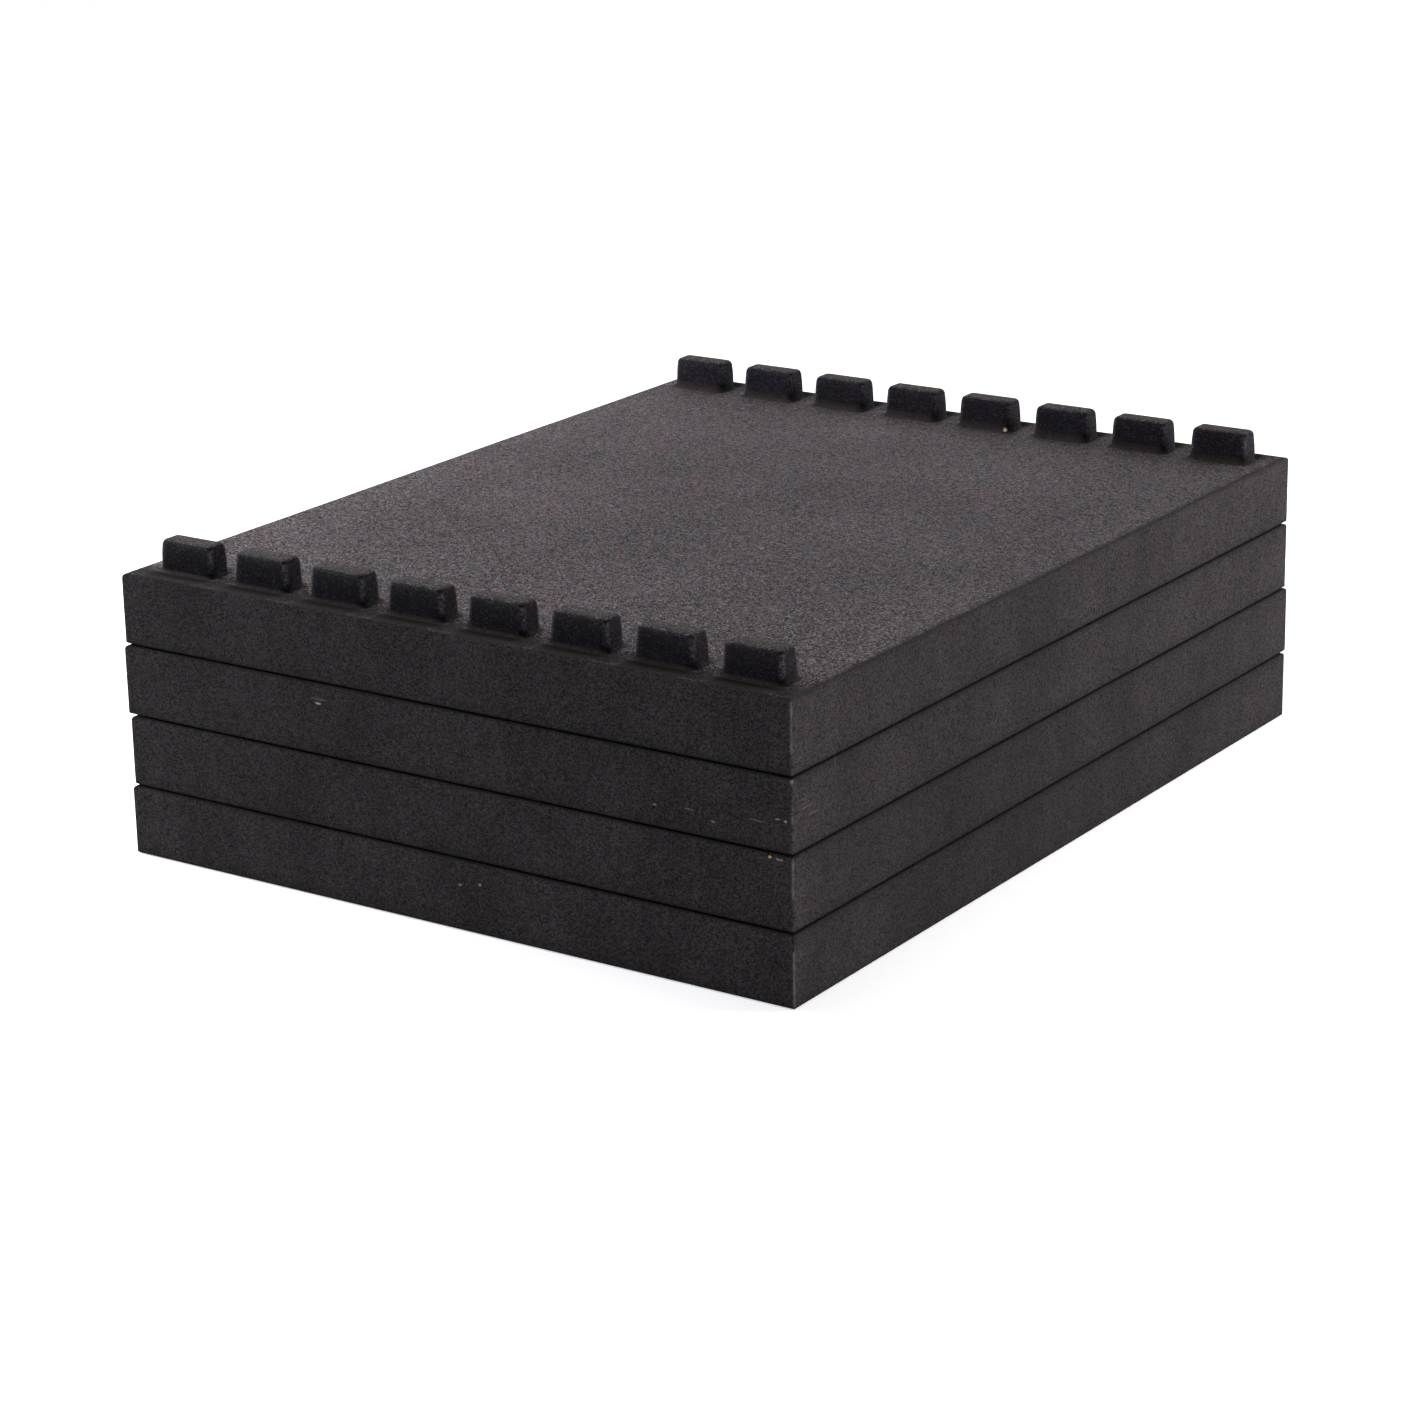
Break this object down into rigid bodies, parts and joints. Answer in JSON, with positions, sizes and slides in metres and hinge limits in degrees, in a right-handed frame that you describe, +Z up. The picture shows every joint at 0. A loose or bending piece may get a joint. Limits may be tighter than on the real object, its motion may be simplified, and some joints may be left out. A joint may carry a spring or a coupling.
{
  "type": "stack of foam mats",
  "caption": "Stack of thick black foam mats, each with a row of upright rounded teeth along both short sides that keys into the underside of the mat above.",
  "frame": {"origin": "middle of the stack's footprint, on the surface it stands on", "axes": "+Z up, through the stack; X along the short sides, which the rows of teeth follow; +Y along the long sides, towards the short side with rounded edges"},
  "size_m": [0.3208, 0.4034, 0.1326],
  "materials": {
    "mat_foam": "matt black closed-cell foam, fine pebbled skin on top, cut pores on the trimmed sides"
  },
  "bodies": {
    "bottom_mat": {"bottom_mat": "mat_foam"},
    "lower_middle_mat": {"lower_middle_mat": "mat_foam"},
    "upper_middle_mat": {"upper_middle_mat": "mat_foam"},
    "top_mat": {"top_mat": "mat_foam"}
  },
  "joints": [
    {"name": "lower_middle_mat_lift", "type": "slide", "parent": "bottom_mat", "child": "lower_middle_mat", "axis": [0, 0, 1], "range_m": [0, 0.06]},
    {"name": "upper_middle_mat_lift", "type": "slide", "parent": "lower_middle_mat", "child": "upper_middle_mat", "axis": [0, 0, 1], "range_m": [0, 0.06]},
    {"name": "top_mat_lift", "type": "slide", "parent": "upper_middle_mat", "child": "top_mat", "axis": [0, 0, 1], "range_m": [0, 0.06]}
  ]
}
